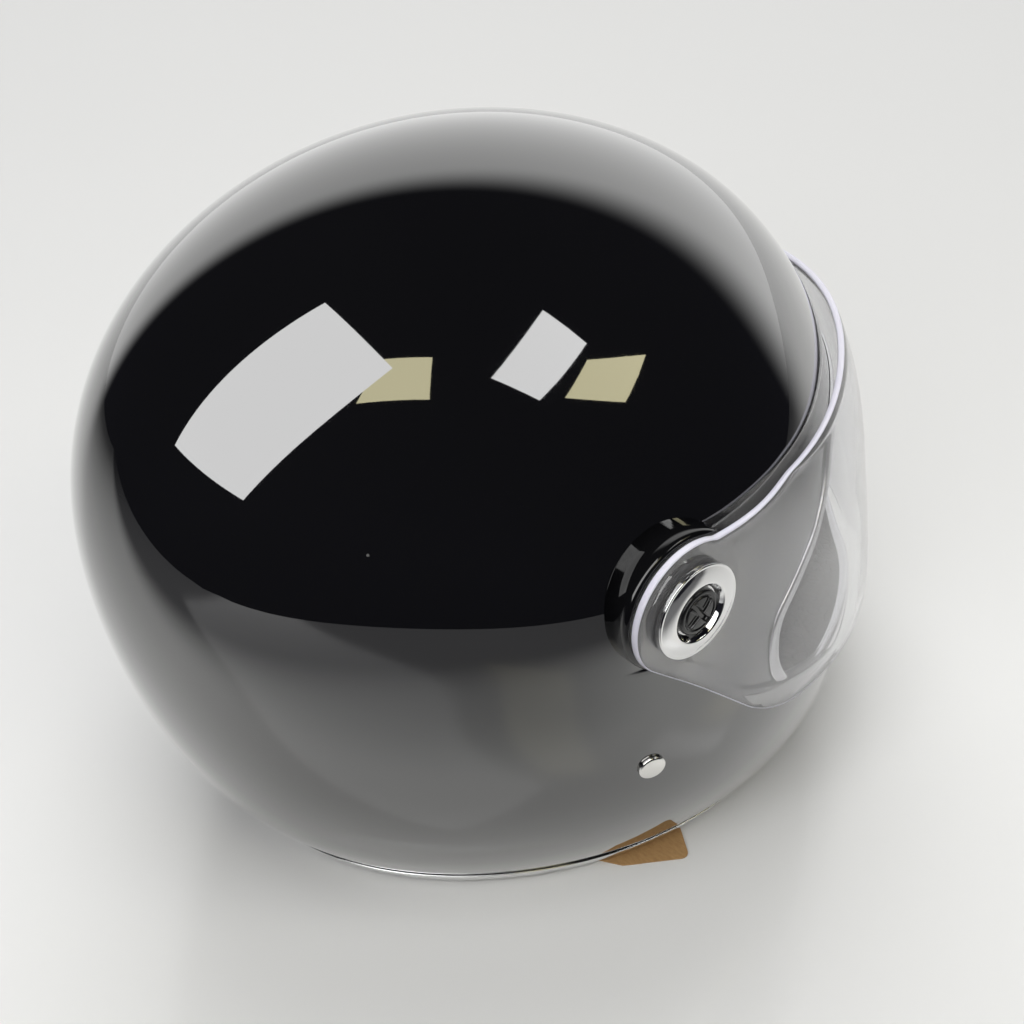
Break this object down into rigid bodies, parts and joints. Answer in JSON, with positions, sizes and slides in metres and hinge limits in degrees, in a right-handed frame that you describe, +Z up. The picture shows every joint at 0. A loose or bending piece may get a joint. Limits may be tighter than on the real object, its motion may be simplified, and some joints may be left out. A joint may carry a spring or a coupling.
{
  "type": "motorcycle helmet",
  "caption": "Full-face motorcycle helmet with glossy shell, clear flip-up visor on side pivots, bright edge mouldings, foam liner, fabric pads and a double-ring chin strap.",
  "frame": {"origin": "middle of the footprint, on the surface that the bottom edge stands on", "axes": "+Z up, -Y the way the wearer looks, -X the wearer's right side"},
  "size_m": [0.274, 0.3351, 0.266],
  "materials": {
    "shell_gloss": "high-gloss black paint over moulded shell",
    "chrome_trim": "bright chrome-look edge moulding",
    "port_trim": "bright extruded edge moulding, worn to a soft shine",
    "visor_clear": "clear polycarbonate, polished edge",
    "base_gloss": "gloss black moulded plastic",
    "washer_clear": "natural nylon",
    "chrome": "polished chrome plate",
    "screw_black": "black moulded head",
    "steel": "zinc-plated steel",
    "foam": "moulded bead foam, dark grey",
    "lining": "quilted brushed knit",
    "pad_cloth": "brushed knit over foam",
    "snap_plastic": "moulded snap",
    "webbing": "woven nylon webbing",
    "tag_card": "kraft card"
  },
  "bodies": {
    "root": {"outer_shell": "shell_gloss", "bottom_edge_trim": "chrome_trim", "eye_port_trim": "port_trim", "pivot_base_right": "base_gloss", "inner_washer_right": "washer_clear", "outer_washer_right": "washer_clear", "pivot_bush_right": "steel", "pivot_nut_right": "steel", "pivot_cap_right": "chrome", "pivot_screw_right": "screw_black", "pivot_base_left": "base_gloss", "inner_washer_left": "washer_clear", "outer_washer_left": "washer_clear", "pivot_bush_left": "steel", "pivot_nut_left": "steel", "pivot_cap_left": "chrome", "pivot_screw_left": "screw_black", "crown_foam": "foam", "chin_foam": "foam", "chin_lining": "lining", "crown_lining": "lining", "neck_roll": "pad_cloth", "cheek_pad_right": "pad_cloth", "cheek_snaps_right": "snap_plastic", "cheek_pad_left": "pad_cloth", "cheek_snaps_left": "snap_plastic", "strap_rivet_right": "chrome", "anchor_plate_right": "steel", "strap_rivet_left": "chrome", "anchor_plate_left": "steel", "strap_right": "webbing", "strap_left": "webbing", "strap_snap": "steel", "hang_tag": "tag_card"},
    "visor": {"visor": "visor_clear"},
    "d_ring_outer": {"d_ring_outer": "steel"},
    "d_ring_inner": {"d_ring_inner": "steel"}
  },
  "joints": [
    {"name": "visor_hinge", "type": "hinge", "parent": "root", "child": "visor", "pos_m": [0, 0.0305, 0.1468], "axis": [-1, 0, 0], "range_deg": [0, 60]},
    {"name": "d_ring_outer_swing", "type": "hinge", "parent": "root", "child": "d_ring_outer", "pos_m": [-0.073, 0.0364, 0.03], "axis": [0, 1, 0], "range_deg": [0, 32]},
    {"name": "d_ring_inner_swing", "type": "hinge", "parent": "root", "child": "d_ring_inner", "pos_m": [-0.067, 0.0364, 0.03], "axis": [0, -1, 0], "range_deg": [0, 60]}
  ]
}
